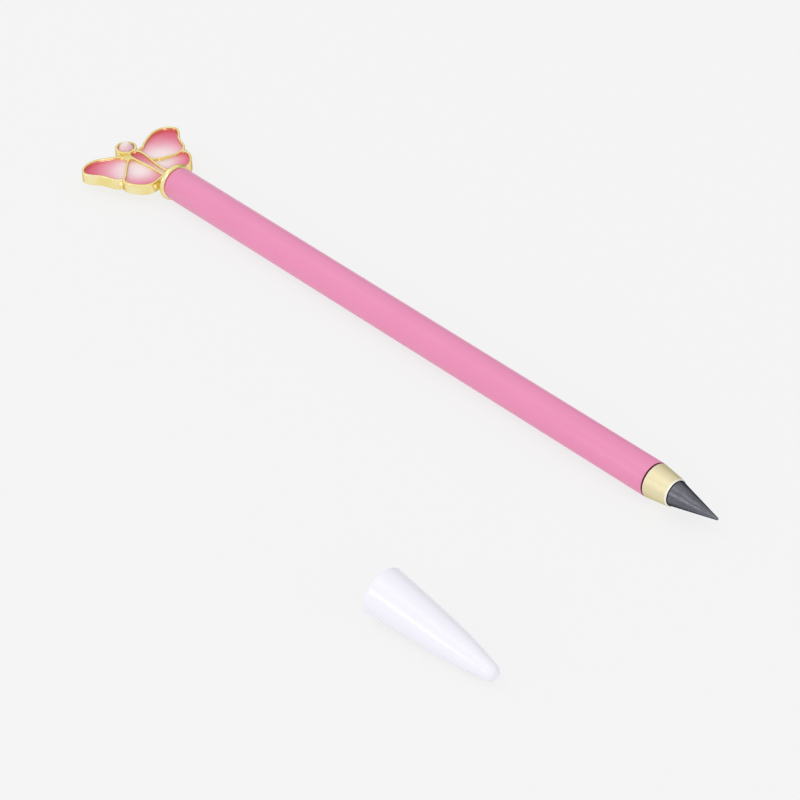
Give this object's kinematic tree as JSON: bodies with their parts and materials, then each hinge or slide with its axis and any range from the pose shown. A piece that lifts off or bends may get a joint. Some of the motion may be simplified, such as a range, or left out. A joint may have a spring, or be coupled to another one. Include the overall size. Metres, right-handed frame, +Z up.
{
  "type": "everlasting pencil",
  "caption": "Slim round everlasting pencil with a screw-in graphite-alloy nib, an enamelled butterfly charm on its tail and a tapered cap lying beside it.",
  "frame": {"origin": "on the surface that the object lies on, under the middle of the box round pencil and cap", "axes": "+X along the pencil towards its nib, +Z up, and the cap lies at -Y"},
  "size_m": [0.2008, 0.0868, 0.011],
  "materials": {
    "pink_paint": "satin pink paint",
    "pale_gold": "pale gold plating, polished",
    "brass": "turned",
    "stem_steel": "turned, threaded",
    "graphite": "smooth graphite alloy, satin",
    "wing_enamel": "resin enamel, pink fading to white",
    "body_enamel": "resin enamel, deep pink fading to white",
    "pink_crystal": "cut and polished",
    "white_plastic": "glossy white"
  },
  "bodies": {
    "pencil": {"barrel": "pink_paint", "front_bush": "brass", "tail_plug": "brass", "collar": "pale_gold", "charm_frame": "pale_gold", "near_forewing_enamel": "wing_enamel", "near_hindwing_enamel": "wing_enamel", "far_forewing_enamel": "wing_enamel", "far_hindwing_enamel": "wing_enamel", "body_enamel": "body_enamel", "crystal": "pink_crystal"},
    "nib_thread": {"threaded_stem": "stem_steel"},
    "nib_head": {"ferrule": "pale_gold", "nib": "graphite"},
    "cap": {"cap": "white_plastic"}
  },
  "joints": [
    {"name": "nib_advance", "type": "slide", "parent": "pencil", "child": "nib_thread", "axis": [1, 0, 0], "range_m": [0, 0.0098]},
    {"name": "nib_turn", "type": "hinge", "parent": "nib_thread", "child": "nib_head", "pos_m": [0.07758, 0.02919, 0.0045], "axis": [1, 0, 0], "range_deg": [0, 5040]},
    {"name": "cap_lift", "type": "slide", "parent": "pencil", "child": "cap", "axis": [0, 0, 1], "range_m": [0, 0.05]}
  ],
  "couplings": [
    {"joint": "nib_turn", "follows": "nib_advance", "rad_per_m": 8976}
  ]
}
